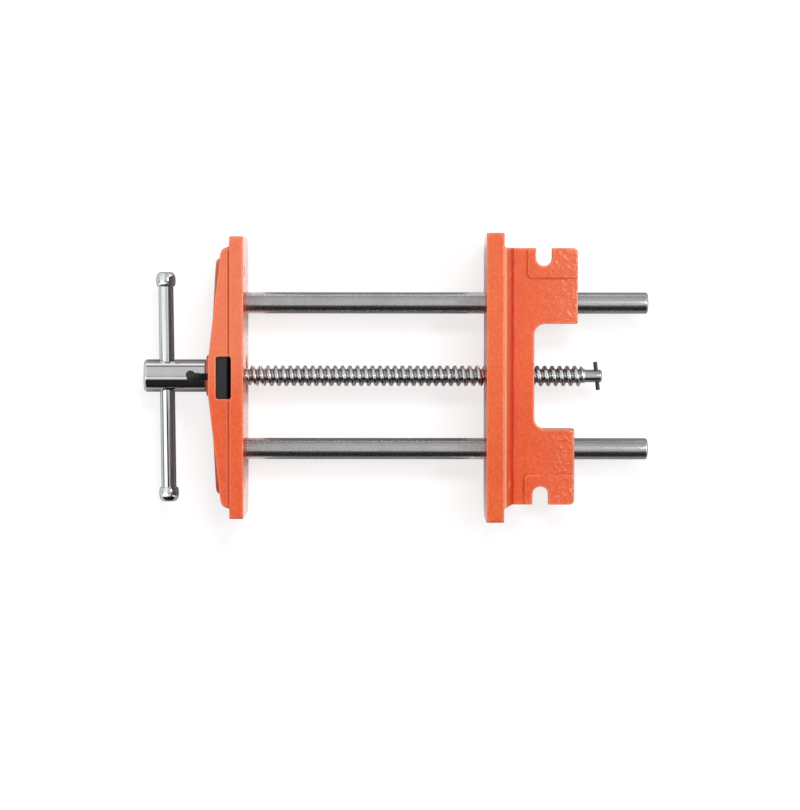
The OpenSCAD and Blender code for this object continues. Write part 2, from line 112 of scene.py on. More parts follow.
dog_screw_z = 28.0
dog_screw_d = 5.0
dog_screw_stand = 11.5
dog_screw_nose = 2.7
cross_bar_x = -opening - dome_mid_t - dog_screw_stand
cross_bar_l = 24.0
cross_bar_d = 3.0
cross_bar_end_d = 5.8
cross_bar_end_l = 3.0
cross_bar_lean = math.radians(-7.5)
# How far cutters reach past what they cut, and how soft turned corners are.
overrun = 2
soft, softer = 0.3, 0.35

X, Y, Z = Vector((1, 0, 0)), Vector((0, 1, 0)), Vector((0, 0, 1))


# Node trees

def add(tree, kind, **settings):
    """A new node, with its settings made and its sockets filled by name."""
    node = tree.nodes.new(kind)
    sockets = settings.pop("sockets", {})
    for key, value in settings.items():
        setattr(node, key, value)
    for key, value in sockets.items():
        node.inputs[key].default_value = value
    return node


def feed(tree, socket, value):
    """Links a socket to another, or sets it to a plain value."""
    if isinstance(value, bpy.types.NodeSocket):
        tree.links.new(value, socket)
    else:
        socket.default_value = value


def maths(tree, operation, *values, clamp=False):
    node = add(tree, "ShaderNodeMath", operation=operation, use_clamp=clamp)
    for socket, value in zip(node.inputs, values):
        feed(tree, socket, value)
    return node.outputs[0]


def product(tree, first, *others):
    for value in others:
        first = maths(tree, "MULTIPLY", first, value)
    return first


def ramp(tree, value, low, high, to_low=0.0, to_high=1.0, kind="SMOOTHSTEP"):
    """Carries a value from one range to another."""
    node = add(tree, "ShaderNodeMapRange", interpolation_type=kind)
    for socket, v in zip(node.inputs, (value, low, high, to_low, to_high)):
        feed(tree, socket, v)
    return node.outputs["Result"]


def between(tree, share, low, high):
    return ramp(tree, share, 0.0, 1.0, low, high, "LINEAR")


def blend(tree, share, first, second, kind="RGBA"):
    """The first colour, or FLOAT number, where share is 0 and the second where it is 1."""
    node = add(tree, "ShaderNodeMix", data_type=kind)
    low, high, result = (6, 7, 2) if kind == "RGBA" else (2, 3, 0)
    for socket, value in ((0, share), (low, first), (high, second)):
        feed(tree, node.inputs[socket], value)
    return node.outputs[result]


def noise(tree, place, scale, detail=2.0, roughness=0.5, distortion=0.0):
    node = add(tree, "ShaderNodeTexNoise",
               sockets={"Detail": detail, "Roughness": roughness, "Distortion": distortion})
    feed(tree, node.inputs["Vector"], place)
    feed(tree, node.inputs["Scale"], scale)
    return node.outputs["Fac"]


def coordinates(tree, kind="Object"):
    """Each point in its piece's frame, or with Generated each direction in the room."""
    return add(tree, "ShaderNodeTexCoord").outputs[kind]


def xyz(tree, vector):
    parts = add(tree, "ShaderNodeSeparateXYZ")
    feed(tree, parts.inputs[0], vector)
    return parts.outputs


socket_types = {float: "NodeSocketFloat", int: "NodeSocketInt", type(None): "NodeSocketMaterial"}


def new_group(name, kind, inputs, outputs, output_type="NodeSocketFloat"):
    """A node group with inputs, given by their names and first values, and with named outputs."""
    tree = bpy.data.node_groups.new(name, kind)
    for label, value in inputs.items():
        socket = tree.interface.new_socket(label, in_out="INPUT", socket_type=socket_types[type(value)])
        if value is not None:
            socket.default_value = value
    for label in outputs:
        tree.interface.new_socket(label, in_out="OUTPUT", socket_type=output_type)
    return tree, tree.nodes.new("NodeGroupInput").outputs, tree.nodes.new("NodeGroupOutput").inputs


def make_cast_texture():
    """Lumps, grain and a few pits of a sand casting under paint. Height is in metres."""
    tree, given, out = new_group("cast_texture", "ShaderNodeTree", {
        "Lump Size": 0.004, "Lump Depth": 0.0001, "Grain Size": 0.0009, "Grain Depth": 0.00002,
        "Pit Depth": 0.00005}, ("Height", "Mottle", "Speckle", "Roughen"))
    place = coordinates(tree)
    lump = noise(tree, place, maths(tree, "DIVIDE", 1.0, given["Lump Size"]), detail=3.0, roughness=0.45,
                 distortion=0.3)
    grain = noise(tree, place, maths(tree, "DIVIDE", 1.0, given["Grain Size"]), roughness=0.6)
    cells = add(tree, "ShaderNodeTexVoronoi", feature="SMOOTH_F1", sockets={"Smoothness": 0.6})
    feed(tree, cells.inputs["Vector"], place)
    feed(tree, cells.inputs["Scale"], maths(tree, "DIVIDE", 0.35, given["Grain Size"]))
    pit = ramp(tree, cells.outputs["Distance"], 0.05, 0.45)
    rare = ramp(tree, noise(tree, place, 140.0), 0.5, 0.62)
    height = maths(tree, "MULTIPLY", lump, given["Lump Depth"])
    height = maths(tree, "MULTIPLY_ADD", grain, given["Grain Depth"], height)
    height = maths(tree, "MULTIPLY_ADD", product(tree, pit, rare), given["Pit Depth"], height)
    feed(tree, out["Height"], height)
    feed(tree, out["Mottle"], ramp(tree, noise(tree, place, 55.0, detail=3.0, roughness=0.55), 0.32, 0.68))
    feed(tree, out["Speckle"], ramp(tree, noise(tree, place, 700.0, detail=1.0, roughness=0.6), 0.36, 0.64))
    feed(tree, out["Roughen"], ramp(tree, noise(tree, place, 420.0), 0.3, 0.7))
    return tree


def make_edge_tone():
    """Masks for proud edges and for inner corners, read from the piece's own edge attribute."""
    tree, given, out = new_group("edge_tone", "ShaderNodeTree", {"Reach": 0.5, "Breakup": 0.5},
                                 ("Proud", "Corner"))
    place = coordinates(tree)
    edge = add(tree, "ShaderNodeAttribute", attribute_name="edge").outputs["Fac"]
    patchy = noise(tree, place, 300.0, detail=3.0, roughness=0.6)
    # Breaks the masks up patchily: they carry wear on blackened steel, and painted highlights and painted
    # shade elsewhere.
    broken_up = maths(tree, "SUBTRACT", 1.0, maths(tree, "MULTIPLY", patchy, given["Breakup"]))
    proud = ramp(tree, edge, 0.12, given["Reach"])
    corner = ramp(tree, maths(tree, "MULTIPLY", edge, -1.0), 0.08, given["Reach"])
    feed(tree, out["Proud"], maths(tree, "MULTIPLY", proud, broken_up, clamp=True))
    feed(tree, out["Corner"], maths(tree, "MULTIPLY", corner, broken_up, clamp=True))
    return tree


def make_tool_marks():
    """Fine lines left by turning or grinding, across one axis. Height is in metres."""
    tree, given, out = new_group("tool_marks", "ShaderNodeTree", {
        "Along X": 2500.0, "Along Y": 60.0, "Along Z": 60.0, "Depth": 0.000004},
        ("Height", "Streak", "Smudge"))
    place = coordinates(tree)
    at = xyz(tree, place)
    stretched = add(tree, "ShaderNodeCombineXYZ")
    for axis in "XYZ":
        feed(tree, stretched.inputs[axis], product(tree, at[axis], given["Along " + axis]))
    lines = noise(tree, stretched.outputs[0], 1.0, detail=3.0, roughness=0.65)
    feed(tree, out["Height"], maths(tree, "MULTIPLY", lines, given["Depth"]))
    feed(tree, out["Streak"], ramp(tree, lines, 0.3, 0.7))
    smudge = noise(tree, place, 38.0, detail=3.0, roughness=0.6, distortion=0.6)
    feed(tree, out["Smudge"], ramp(tree, smudge, 0.35, 0.7))
    return tree


cast_texture = make_cast_texture()
edge_tone = make_edge_tone()
tool_marks = make_tool_marks()


# Finishes

def new_tree(data):
    """An empty node tree for a material or a world."""
    data.use_nodes = True
    data.node_tree.nodes.clear()
    return data.node_tree


def new_material(name, fixed):
    """A material whose shader has some fixed values."""
    made = bpy.data.materials.new(name)
    tree = new_tree(made)
    shader = add(tree, "ShaderNodeBsdfPrincipled", sockets=fixed)
    output = add(tree, "ShaderNodeOutputMaterial")
    tree.links.new(shader.outputs[0], output.inputs["Surface"])
    return made, tree, shader


def use_group(tree, group, **values):
    node = add(tree, "ShaderNodeGroup", node_tree=group)
    for key, value in values.items():
        feed(tree, node.inputs[key.replace("_", " ")], value)
    return node.outputs


def dress(tree, shader, colour, roughness, height, coat=False):
    """Feeds a shader its colour, its roughness and, through a bump, its height in metres."""
    feed(tree, shader.inputs["Base Color"], colour)
    feed(tree, shader.inputs["Roughness"], roughness)
    bump = add(tree, "ShaderNodeBump", sockets={"Strength": 1.0, "Distance": 1.0})
    feed(tree, bump.inputs["Height"], height)
    feed(tree, shader.inputs["Normal"], bump.outputs["Normal"])
    if coat:
        feed(tree, shader.inputs["Coat Normal"], bump.outputs["Normal"])


# Where finishes change along X, Y or Z, or with the distance of their mirror image, in metres, mostly to
# place painted reflections, highlights and shade. A range has its start and its end, and some have the
# share at each.
beside_front_face = (-0.1463, -0.1473)
beside_rear_face = (-0.0035, -0.0025)
behind_rear_face = (0.0015, 0.0005)
ears_x = (0.022, 0.052)
bar_back_x, bar_back_z = (0.0105, 0.0120), (0.020, 0.045, 0.25, 1.0)
ledge_from_x, ledge_to_x, ledge_z = (0.0104, 0.0112), (0.0134, 0.0126), (0.046, 0.048, 0.0, 0.4)
crease_from_x, crease_to_x = (0.0125, 0.0135), (0.0184, 0.0175)
crease_from_z, crease_fade_z = (0.0120, 0.0135), (0.040, 0.014, 0.0, 0.9)
dull_z = (-0.01, 0.02)
rod_mirrored_within = (0.050, 0.044, 0.0, 0.8)
greyed_from, greyed_to, face_greyed_later = 0.008, 0.018, 0.024

glaze_per_metre = 400
# Painted reflection: the orange that bare metal is painted where the enamel beside it mirrors it.
painted_jaw_reflection = (0.64, 0.16, 0.07, 1)
# Painted shade in the crease behind the rear jaw's bar.
crease_shade_red = (0.60, 0.018, 0.002, 1)
# Painted reflection: the greys that enamel is painted where metals a little way off mirror it, darker lower
# down.
dull_grey, dark_grey = (0.30, 0.30, 0.30, 1), (0.06, 0.06, 0.062, 1)
# Painted shade in the thread's inner corners.
corner_shade_black = (0.04, 0.04, 0.04, 1)
# Painted shadow, in the gap behind the bench dog.
painted_shadow_black = (0.003, 0.003, 0.003, 1)


def with_painted_jaw_reflection(tree, tone):
    """The tone of bare metal, with a painted reflection: right beside the gripping faces, where the enamel
    close by mirrors it, the metal is painted orange.
    """
    x = xyz(tree, coordinates(tree))["X"]
    path = add(tree, "ShaderNodeLightPath").outputs
    by_rear = product(tree, ramp(tree, x, *beside_rear_face), ramp(tree, x, *behind_rear_face))
    beside = maths(tree, "MAXIMUM", ramp(tree, x, *beside_front_face), by_rear)
    close = ramp(tree, path["Ray Length"], *rod_mirrored_within)
    mirrored = product(tree, beside, close, path["Is Glossy Ray"])
    return blend(tree, mirrored, tone, painted_jaw_reflection)


def painted_edge_highlights(tree, at, proud, rim):
    """How much painted highlight the enamel gets: on proud edges, most along the back edge of the rear
    jaw's bar, and on the ledge behind that bar.
    """
    back_edge = product(tree, ramp(tree, at["X"], *bar_back_x), ramp(tree, at["Z"], *bar_back_z))
    on_edges = product(tree, proud, ramp(tree, back_edge, 0.0, 1.0, *rim))
    on_ledge = product(tree, ramp(tree, at["X"], *ledge_from_x), ramp(tree, at["X"], *ledge_to_x),
                       ramp(tree, at["Z"], *ledge_z))
    return maths(tree, "MAXIMUM", on_edges, on_ledge)


def painted_crease_shade(tree, at):
    """Painted shade, deep red, in the crease between the rear jaw's bar and its plate."""
    return product(tree, ramp(tree, at["X"], *crease_from_x), ramp(tree, at["X"], *crease_to_x),
                   ramp(tree, at["Z"], *crease_from_z), ramp(tree, at["Z"], *crease_fade_z))


def greyed_when_mirrored(tree, at, faced, top, tone):
    """The enamel's tone, with a painted reflection: to glossy rays from metals a little way off it is
    painted grey, darker lower down, except on its top.
    """
    path = add(tree, "ShaderNodeLightPath").outputs
    reach = maths(tree, "MULTIPLY_ADD", faced, face_greyed_later, greyed_to)
    far = ramp(tree, path["Ray Length"], greyed_from, reach)
    on_top = product(tree, ramp(tree, at["Z"], *top[:2]), ramp(tree, at["Z"], *top[2:]))
    mirrored = product(tree, path["Is Glossy Ray"], far, ramp(tree, on_top, 0.0, 1.0, 0.97, 0.0))
    grey = blend(tree, ramp(tree, at["Z"], *dull_z), dull_grey, dark_grey)
    return blend(tree, mirrored, tone, grey)


def enamel(name, main, deep, light, lump_depth, far_lump, face, top, painted_light_y, rim):
    """Glossy enamel, sprayed over a sand casting, with painted shade in its inner corners and painted
    highlights on its proud edges. Lumps can grow towards the bench end. The gripping face lies between the
    two X places of face.
    Outside the Z places of top, metals mirror the enamel as grey, a painted reflection. painted_light_y is
    the Y range over which painted light makes the enamel paler, and by how much. rim is how strong the
    painted highlight on proud edges is, before and behind the back edge of the rear jaw's bar."""
    made, tree, shader = new_material(name, {"Coat Roughness": 0.08, "Specular IOR Level": 0.3})
    at = xyz(tree, coordinates(tree))
    faced = ramp(tree, at["X"], *face)
    uneven = maths(tree, "SUBTRACT", 1.0, faced)
    ears = ramp(tree, at["X"], *ears_x)
    lumps = maths(tree, "MULTIPLY_ADD", ears, far_lump, lump_depth)
    cast = use_group(tree, cast_texture, Lump_Size=0.0030, Lump_Depth=product(tree, lumps, uneven),
                     Grain_Size=0.00075, Grain_Depth=product(tree, uneven, 0.00006), Pit_Depth=0.00006)
    edges = use_group(tree, edge_tone, Reach=0.55, Breakup=0.35)
    crease_shade = painted_crease_shade(tree, at)
    # Mottle and speckle are the enamel's own. The rest is painted light: paler over a Y range, painted
    # shade in inner corners, painted highlights on proud edges and the ledge, and painted shade in the rear
    # jaw's crease.
    for share, tint in ((product(tree, cast["Mottle"], 0.2), deep),
                        (product(tree, cast["Speckle"], 0.24), deep),
                        (ramp(tree, cast["Speckle"], 1.0, 0.0, 0.0, 0.045), light),
                        (ramp(tree, at["Y"], *painted_light_y[:2], 0.0, painted_light_y[2]), light),
                        (edges["Corner"], deep),
                        (painted_edge_highlights(tree, at, edges["Proud"], rim), light),
                        (crease_shade, crease_shade_red)):
        main = blend(tree, share, main, tint)
    main = greyed_when_mirrored(tree, at, faced, top, main)
    glaze = maths(tree, "MULTIPLY_ADD", faced, 0.35, 0.45)
    glaze = maths(tree, "MULTIPLY_ADD", ears, far_lump * glaze_per_metre, glaze)
    matt = maths(tree, "MAXIMUM", product(tree, edges["Corner"], 0.4), crease_shade)
    feed(tree, shader.inputs["Coat Weight"], maths(tree, "SUBTRACT", glaze, matt, clamp=True))
    dress(tree, shader, main, between(tree, cast["Roughen"], 0.32, 0.46), cast["Height"], coat=True)
    return made


def plated(name, dim, wave, base=(0.80, 0.81, 0.82, 1), rough_low=0.035, rough_high=0.08):
    """Bright plated steel, with a slow waviness, a few smudges and painted shade in its inner corners."""
    made, tree, shader = new_material(name, {"Metallic": 1.0})
    marks = use_group(tree, tool_marks, Along_X=900.0, Along_Y=900.0, Along_Z=900.0, Depth=0.0000012)
    edges = use_group(tree, edge_tone, Reach=0.9, Breakup=0.2)
    slow = noise(tree, coordinates(tree), 110.0, roughness=0.4)
    tone = blend(tree, product(tree, marks["Smudge"], 0.3), base, dim)
    tone = blend(tree, product(tree, edges["Corner"], 0.7), tone, dim)
    height = maths(tree, "MULTIPLY_ADD", slow, wave, marks["Height"])
    dress(tree, shader, tone, between(tree, marks["Smudge"], rough_low, rough_high), height)
    return made


def ground_steel(name, base, dim, rough_low, rough_high, along, depth):
    """Bare steel with fine lines across one axis, painted shade in inner corners and a painted orange
    reflection.
    """
    made, tree, shader = new_material(name, {"Metallic": 1.0})
    along_x, along_y, along_z = along
    marks = use_group(tree, tool_marks, Along_X=along_x, Along_Y=along_y, Along_Z=along_z, Depth=depth)
    edges = use_group(tree, edge_tone, Reach=0.9, Breakup=0.4)
    tone = base
    for share in (product(tree, marks["Streak"], 0.35), product(tree, marks["Smudge"], 0.3),
                  product(tree, edges["Corner"], 0.8)):
        tone = blend(tree, share, tone, dim)
    roughness = between(tree, marks["Streak"], rough_low, rough_high)
    dress(tree, shader, with_painted_jaw_reflection(tree, tone), roughness, marks["Height"])
    return made


def shaded_root_thread(name, base, dark, low_r, high_r):
    """Rolled thread: bright on its crests, with patchy painted shade down in its root and in its inner
    corners, and a painted orange reflection beside the gripping faces. Radii are in metres.
    """
    made, tree, shader = new_material(name, {"Metallic": 1.0})
    marks = use_group(tree, tool_marks, Along_X=1500.0, Along_Y=500.0, Along_Z=500.0, Depth=0.000003)
    edges = use_group(tree, edge_tone, Reach=0.8, Breakup=0.3)
    at = xyz(tree, coordinates(tree))
    across = maths(tree, "ADD", maths(tree, "POWER", at["Y"], 2.0), maths(tree, "POWER", at["Z"], 2.0))
    depth = ramp(tree, maths(tree, "SQRT", across), high_r, low_r)
    patchiness = maths(tree, "MULTIPLY_ADD", marks["Smudge"], 0.35, 0.5)
    root_shade = maths(tree, "MULTIPLY", depth, patchiness, clamp=True)
    tone = blend(tree, root_shade, base, dark)
    tone = blend(tree, product(tree, edges["Corner"], 0.6), tone, corner_shade_black)
    dress(tree, shader, with_painted_jaw_reflection(tree, tone), between(tree, root_shade, 0.14, 0.30), marks["Height"])
    return made


def black_oxide(name, base, rubbed, rough, grain, painted_shadow_x=None):
    """Blackened steel, rubbed lighter on its edges, and with a painted shadow, almost black, past an X
    range called painted_shadow_x.
    """
    made, tree, shader = new_material(name, {"Metallic": 0.2, "Specular IOR Level": 0.4})
    cast = use_group(tree, cast_texture, Lump_Size=0.003, Lump_Depth=grain, Grain_Size=0.0005,
                     Grain_Depth=grain * 0.3, Pit_Depth=grain * 0.5)
    edges = use_group(tree, edge_tone, Reach=0.7, Breakup=0.6)
    tone = blend(tree, product(tree, cast["Mottle"], 0.4), base, rubbed)
    tone = blend(tree, product(tree, edges["Proud"], 0.6), tone, rubbed)
    if painted_shadow_x:
        in_painted_shadow = ramp(tree, xyz(tree, coordinates(tree))["X"], *painted_shadow_x, 0.0, 0.95)
        tone = blend(tree, in_painted_shadow, tone, painted_shadow_black)
    dress(tree, shader, tone, between(tree, cast["Roughen"], rough, rough + 0.14), cast["Height"])
    return made


orange = enamel(
    "orange_enamel", main=(0.79, 0.109, 0.024, 1), deep=(0.58, 0.045, 0.008, 1),
    light=(0.93, 0.40, 0.24, 1), lump_depth=0.00008, far_lump=0.0, face=(-0.1515, -0.1511),
    top=(0.046, 0.049, 0.07, 0.06), painted_light_y=(-0.025, 0.020, 0.25), rim=(0.25, 0.25))
rough_orange = enamel(
    "orange_enamel_on_ears", main=(0.76, 0.108, 0.021, 1), deep=(0.54, 0.042, 0.007, 1),
    light=(0.92, 0.40, 0.22, 1), lump_depth=0.00006, far_lump=0.0008, face=(0.0005, 0.0001),
    top=(0.0115, 0.0130, 0.0165, 0.0155), painted_light_y=(-0.06, 0.03, 0.08), rim=(0.35, 1.0))
chrome = plated("chrome_plate", dim=(0.60, 0.61, 0.62, 1), wave=0.00001)
cap_chrome = plated("chrome_plate_on_caps", dim=(0.55, 0.56, 0.57, 1), wave=0.00022)
rod_steel = ground_steel("ground_rod_steel", base=(0.59, 0.59, 0.595, 1), dim=(0.38, 0.38, 0.385, 1),
                         rough_low=0.25, rough_high=0.30, along=(700.0, 160.0, 160.0), depth=0.0000003)
turned_steel = ground_steel("turned_steel", base=(0.52, 0.51, 0.49, 1), dim=(0.34, 0.33, 0.31, 1),
                            rough_low=0.28, rough_high=0.42, along=(1800.0, 300.0, 300.0), depth=0.000003)
bored_iron = ground_steel("bored_iron", base=(0.30, 0.29, 0.28, 1), dim=(0.17, 0.165, 0.16, 1),
                          rough_low=0.34, rough_high=0.5, along=(2200.0, 80.0, 80.0), depth=0.000003)
thread_steel = shaded_root_thread("lead_screw_steel", base=(0.88, 0.88, 0.89, 1), dark=(0.42, 0.42, 0.43, 1),
                            low_r=root_r * MM, high_r=root_r * MM + 0.0007)
# The dog's back, past an X place, is painted almost black: a painted shadow.
dog_black = black_oxide("black_oxide_on_dog", base=(0.014, 0.014, 0.015, 1),
                        rubbed=(0.026, 0.026, 0.028, 1), rough=0.5, grain=0.00005, painted_shadow_x=(-0.1617, -0.1609))
screw_black = black_oxide("black_oxide_on_screws", base=(0.012, 0.012, 0.013, 1),
                          rubbed=(0.045, 0.045, 0.048, 1), rough=0.30, grain=0.000012)


# Making pieces

def apply_modifiers(piece):
    graph = bpy.context.evaluated_depsgraph_get()
    mesh = bpy.data.meshes.new_from_object(piece.evaluated_get(graph))
    piece.modifiers.clear()
    old = piece.data
    piece.data = mesh
    bpy.data.meshes.remove(old)


def object_from(name, mesh):
    piece = bpy.data.objects.new(name, mesh)
    bpy.context.scene.collection.objects.link(piece)
    return piece


def mesh_from(name, points, faces):
    mesh = bpy.data.meshes.new(name)
    mesh.from_pydata([tuple(p) for p in points], [], faces)
    mesh.update()
    return mesh


def turn_outwards(mesh, merge=1e-7):
    """Merges doubles and points every face outwards."""
    made = bmesh.new()
    made.from_mesh(mesh)
    bmesh.ops.remove_doubles(made, verts=made.verts, dist=merge)
    bmesh.ops.recalc_face_normals(made, faces=made.faces)
    made.to_mesh(mesh)
    made.free()


def mark_edges(mesh, scale=0.0018, blur=2):
    """Stores how proud or hollow the surface is at each point, from -1 to 1, as the attribute edge."""
    count = len(mesh.vertices)
    place = np.empty(count * 3, np.float32)
    mesh.vertices.foreach_get("co", place)
    normal = np.empty(count * 3, np.float32)
    mesh.vertex_normals.foreach_get("vector", normal)
    ends = np.empty(len(mesh.edges) * 2, np.int32)
    mesh.edges.foreach_get("vertices", ends)
    place, normal, ends = place.reshape(-1, 3), normal.reshape(-1, 3), ends.reshape(-1, 2)
    a, b = ends[:, 0], ends[:, 1]
    step = place[b] - place[a]
    length = np.maximum((step * step).sum(1), 1e-10)
    bend = ((normal[b] - normal[a]) * step).sum(1) / length * scale
    total = np.bincount(a, bend, count) + np.bincount(b, bend, count)
    degree = np.maximum(np.bincount(a, minlength=count) + np.bincount(b, minlength=count), 1)
    value = np.clip(total / degree, -1.5, 1.5)
    for _ in range(blur):
        spread = np.bincount(a, value[b], count) + np.bincount(b, value[a], count)
        value = 0.5 * value + 0.5 * spread / degree
    layer = mesh.attributes.get("edge") or mesh.attributes.new("edge", "FLOAT", "POINT")
    layer.data.foreach_set("value", np.clip(value, -1, 1).astype(np.float32))


def hand_over(piece, body, slot, *nodes, sharp=math.radians(35)):
    """Shades a finished piece and puts it in the place of its CAD nodes."""
    piece.data.shade_smooth()
    piece.data.set_sharp_from_angle(angle=sharp)
    mark_edges(piece.data)
    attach(piece, body)
    if nodes:
        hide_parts(*nodes)
    return piece


def rounded(points, radius, steps=4):
    """An outline whose inner corners are turned into short curves."""
    out = [Vector(points[0])]
    for before, corner, after in zip(points, points[1:], points[2:]):
        corner = Vector(corner)
        back, on = Vector(before) - corner, Vector(after) - corner
        reach = min(radius, back.length * 0.45, on.length * 0.45)
        p, q = corner + back.normalized() * reach, corner + on.normalized() * reach
        for i in range(steps + 1):
            t = i / steps
            out.append(p * (1 - t) ** 2 + corner * 2 * t * (1 - t) + q * t ** 2)
    out.append(Vector(points[-1]))
    return out


def turned_mesh(name, start, axis, outline, sides=96):
    """A turned shape: the outline's (distance, radius) points, in millimetres, swept round the axis."""
    axis = Vector(axis).normalized()
    side = axis.orthogonal().normalized()
    other = axis.cross(side)
    points, rings = [], []
    for along, radius in outline:
        centre = (Vector(start) + axis * along) * MM
        if radius < 1e-6:
            rings.append([len(points)])
            points.append(centre)
            continue
        rings.append(list(range(len(points), len(points) + sides)))
        for i in range(sides):
            angle = 2 * math.pi * i / sides
            points.append(centre + (side * math.cos(angle) + other * math.sin(angle)) * radius * MM)
    faces = []
    for low, high in zip(rings, rings[1:]):
        for i in range(sides):
            j = (i + 1) % sides
            if len(low) == 1:
                faces.append((low[0], high[j], high[i]))
            elif len(high) == 1:
                faces.append((low[i], low[j], high[0]))
            else:
                faces.append((low[i], low[j], high[j], high[i]))
    mesh = mesh_from(name, points, faces)
    turn_outwards(mesh)
    return mesh


def turned(name, finish, start, axis, outline, sides=96):
    piece = object_from(name, turned_mesh(name, start, axis, outline, sides))
    piece.data.materials.append(finish)
    return piece


def cut_away(piece, finish, *shapes):
    """Cuts turned or boxed shapes out of a piece, and gives the cut walls their own finish."""
    for shape in shapes:
        tool = object_from("cutter", shape)
        tool.data.materials.append(finish)
        cut = piece.modifiers.new("cut", "BOOLEAN")
        cut.operation = "DIFFERENCE"
        cut.solver = "MANIFOLD"
        cut.object = tool
        cut.material_mode = "TRANSFER"
        apply_modifiers(piece)
        bpy.data.objects.remove(tool)


def joined(name, finish, *pieces):
    """One piece from several closed shells."""
    made = bmesh.new()
    for piece in pieces:
        made.from_mesh(piece.data)
    for face in made.faces:
        face.material_index = 0
    mesh = bpy.data.meshes.new(name)
    made.to_mesh(mesh)
    made.free()
    mesh.materials.append(finish)
    for piece in pieces:
        bpy.data.objects.remove(piece)
    return object_from(name, mesh)


def merged_copy(name, node):
    """A closed copy of a CAD node's mesh."""
    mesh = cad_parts[node].data.copy()
    mesh.materials.clear()
    made = bmesh.new()
    made.from_mesh(mesh)
    bmesh.ops.remove_doubles(made, verts=made.verts, dist=2e-6)
    made.to_mesh(mesh)
    made.free()
    return object_from(name, mesh)


# Castings

def cast_piece(name, node, finish, keep, grid=0.55, passes=3):
    """A casting with soft edges and fillets: the CAD form on a fine grid, relaxed a few times."""
    piece = merged_copy(name, node)
    remesh = piece.modifiers.new("grid", "REMESH")
    remesh.mode = "VOXEL"
    remesh.voxel_size = grid * MM
    relax = piece.modifiers.new("relax", "SMOOTH")
    relax.factor, relax.iterations = 0.5, passes
    thin = piece.modifiers.new("thin", "DECIMATE")
    thin.ratio = keep
    apply_modifiers(piece)
    piece.data.materials.clear()
    piece.data.materials.append(finish)
    return piece


def bore(x_from, x_to, radius, y=0.0):
    """A round cutter along X."""
    run = x_to - x_from
    return turned_mesh("bore", (x_from, y, 0), X, [(0, 0), (0, radius), (run, radius), (run, 0)], sides=72)


def box_cutter(low, high, corner=0.0, steps=6):
    """An upright cutter with round corners."""
    ring = []
    left, right = low[0] + corner, high[0] - corner
    near, far = low[1] + corner, high[1] - corner
    for cx, cy, start in ((right, far, 0), (left, far, 90), (left, near, 180), (right, near, 270)):
        for i in range(steps + 1):
            angle = math.radians(start + 90 * i / steps)
            ring.append((cx + corner * math.cos(angle), cy + corner * math.sin(angle)))
    count = len(ring)
    points = [Vector((x, y, z)) * MM for z in (low[2], high[2]) for x, y in ring]
    faces = [tuple(range(count))[::-1], tuple(range(count, 2 * count))]
    faces += [(i, (i + 1) % count, count + (i + 1) % count, count + i) for i in range(count)]
    mesh = mesh_from("box", points, faces)
    turn_outwards(mesh)
    return mesh


def groove(x, z, radius, y_from, y_to):
    """A cutter for a thin round-bottomed groove along Y."""
    outline = [(0, 0), (radius * 0.6, radius * 0.8), (radius * 1.6, radius),
               (y_to - y_from - radius * 1.6, radius), (y_to - y_from - radius * 0.6, radius * 0.8),
               (y_to - y_from, 0)]
    return turned_mesh("groove", (x, y_from, z), Y, outline, sides=20)


pocket_corner = 1.5
pocket_ease = 0.05
groove_r = 0.75
groove_x = -opening - front_jaw_t - 0.5
groove_start, groove_end = pocket_w / 2 + 1.2, 79
journal_from, journal_to = -opening - 30, -opening - 3
rod_bore_from, rod_bore_to = -1, 60
nut_bore_to = web_reach + 3
nut_fit = 0.02

front_jaw = cast_piece("front_jaw_casting", "front_jaw", orange, keep=0.48)
pocket_low = (pocket_front - pocket_ease, -pocket_w / 2, pocket_floor)
pocket_high = (pocket_back, pocket_w / 2, jaw_rise + overrun)
cut_away(front_jaw, orange, box_cutter(pocket_low, pocket_high, pocket_corner),
         groove(groove_x, jaw_rise - groove_r, groove_r, groove_start, groove_end),
         groove(groove_x, jaw_rise - groove_r, groove_r, -groove_end, -groove_start))
cut_away(front_jaw, bored_iron, bore(journal_from, journal_to, journal_r + journal_fit),
         bore(-opening - recess_depth, -opening + overrun, recess_r))
hand_over(front_jaw, "sliding_half", "enamel_front", "front_jaw")

rear_jaw = cast_piece("rear_jaw_casting", "rear_jaw", rough_orange, keep=0.4)
cut_away(rear_jaw, bored_iron,
         bore(rod_bore_from, rod_bore_to, rod_d / 2 + rod_fit, rod_y),
         bore(rod_bore_from, rod_bore_to, rod_d / 2 + rod_fit, -rod_y),
         bore(rod_bore_from, web_reach, passage_r),
         bore(web_reach - nut_l, nut_bore_to, nut_r + nut_fit))
hand_over(rear_jaw, "bench_half", "enamel_rear", "rear_jaw")


# Rods, pins and the handle

def plain_pin(name, finish, middle, axis, diameter, length, edge=0.35, sides=48):
    r = diameter / 2
    outline = [(0, 0), (0, r - edge), (edge, r), (length - edge, r), (length, r - edge), (length, 0)]
    outline = rounded(outline, edge * 0.5, steps=3)
    start = Vector(middle) - Vector(axis).normalized() * length / 2
    return turned(name, finish, start, axis, outline, sides)


rod_break = 0.4
rod_runs = 40
crown_steps = 12
crown_l = 1.5
rod_end_face = ((0.15, 2.6), (0, 4))
pin_hole_r = 1.0
pin_hole_from, pin_hole_l = -30, 50

